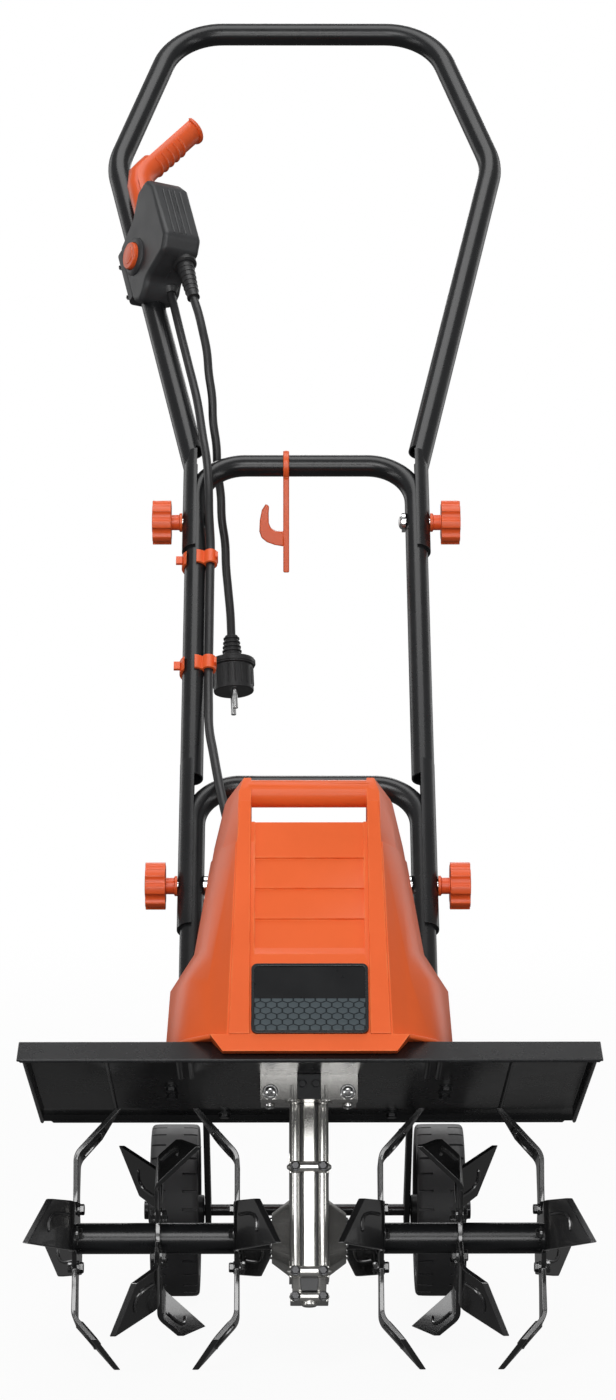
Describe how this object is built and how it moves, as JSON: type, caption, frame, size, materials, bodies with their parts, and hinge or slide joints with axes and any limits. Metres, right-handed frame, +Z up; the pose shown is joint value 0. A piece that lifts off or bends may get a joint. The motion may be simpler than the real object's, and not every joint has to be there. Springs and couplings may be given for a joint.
{
  "type": "electric rotavator",
  "caption": "Walk-behind electric rotavator with folding tube handle, orange motor housing, sheet guard, bent tine stars on a worm gearbox and small transport wheels.",
  "frame": {"origin": "floor under the middle of the machine's bounding box, which stands on tines and wheels", "axes": "+Z up, front of the machine toward -Y, its right side as seen from the front toward +X"},
  "size_m": [0.45, 1.0258, 1.1471],
  "materials": {
    "black_paint": "semi-gloss black powder coat",
    "tine_paint": "gloss black paint over steel",
    "alloy": "polished die-cast alloy",
    "motor": "plain motor block",
    "orange_plastic": "moulded orange plastic",
    "orange_trim": "moulded orange plastic",
    "badge": "blank black plate",
    "switch_plastic": "matt dark grey plastic",
    "cable_rubber": "black rubber",
    "bright_steel": "plated steel",
    "shaft_steel": "turned steel",
    "wheel_plastic": "moulded black plastic",
    "tyre": "moulded tread"
  },
  "bodies": {
    "machine": {"guard": "black_paint", "gearbox_left": "alloy", "gearbox_right": "alloy", "motor_block": "motor", "housing_front": "orange_plastic", "housing_rear": "orange_plastic", "badge_plate": "badge", "lower_frame": "black_paint", "middle_handle": "black_paint", "upper_handlebar": "black_paint", "knob_lower_left": "orange_trim", "knob_lower_right": "orange_trim", "knob_upper_left": "orange_trim", "knob_upper_right": "orange_trim", "bolt_lower_left": "bright_steel", "bolt_lower_right": "bright_steel", "bolt_upper_left": "bright_steel", "bolt_upper_right": "bright_steel", "cable_clip_upper": "orange_trim", "cable_clip_lower": "orange_trim", "cord_hook": "orange_trim", "switch_box": "switch_plastic", "switch_clamp": "switch_plastic", "lock_button": "orange_trim", "switch_lever": "orange_trim", "lead_gland": "cable_rubber", "mains_lead": "cable_rubber", "plug_body": "cable_rubber", "plug_pins": "bright_steel", "motor_cable": "cable_rubber", "housing_gland": "cable_rubber", "wheel_bracket": "black_paint", "wheel_axle": "shaft_steel"},
    "tine_rotor": {"tine_shaft": "shaft_steel", "tine_hub_left": "tine_paint", "tine_hub_right": "tine_paint", "star_left_inner": "tine_paint", "star_left_middle": "tine_paint", "star_left_outer": "tine_paint", "star_right_inner": "tine_paint", "star_right_middle": "tine_paint", "star_right_outer": "tine_paint"},
    "left_wheel": {"wheel_hub_left": "wheel_plastic", "tyre_left": "tyre"},
    "right_wheel": {"wheel_hub_right": "wheel_plastic", "tyre_right": "tyre"}
  },
  "joints": [
    {"name": "tine_spin", "type": "hinge", "parent": "machine", "child": "tine_rotor", "pos_m": [0, -0.37164, 0.10289], "axis": [1, 0, 0], "continuous": true},
    {"name": "left_wheel_spin", "type": "hinge", "parent": "machine", "child": "left_wheel", "pos_m": [0, -0.14364, 0.074], "axis": [1, 0, 0], "continuous": true},
    {"name": "right_wheel_spin", "type": "hinge", "parent": "machine", "child": "right_wheel", "pos_m": [0, -0.14364, 0.074], "axis": [1, 0, 0], "continuous": true}
  ]
}
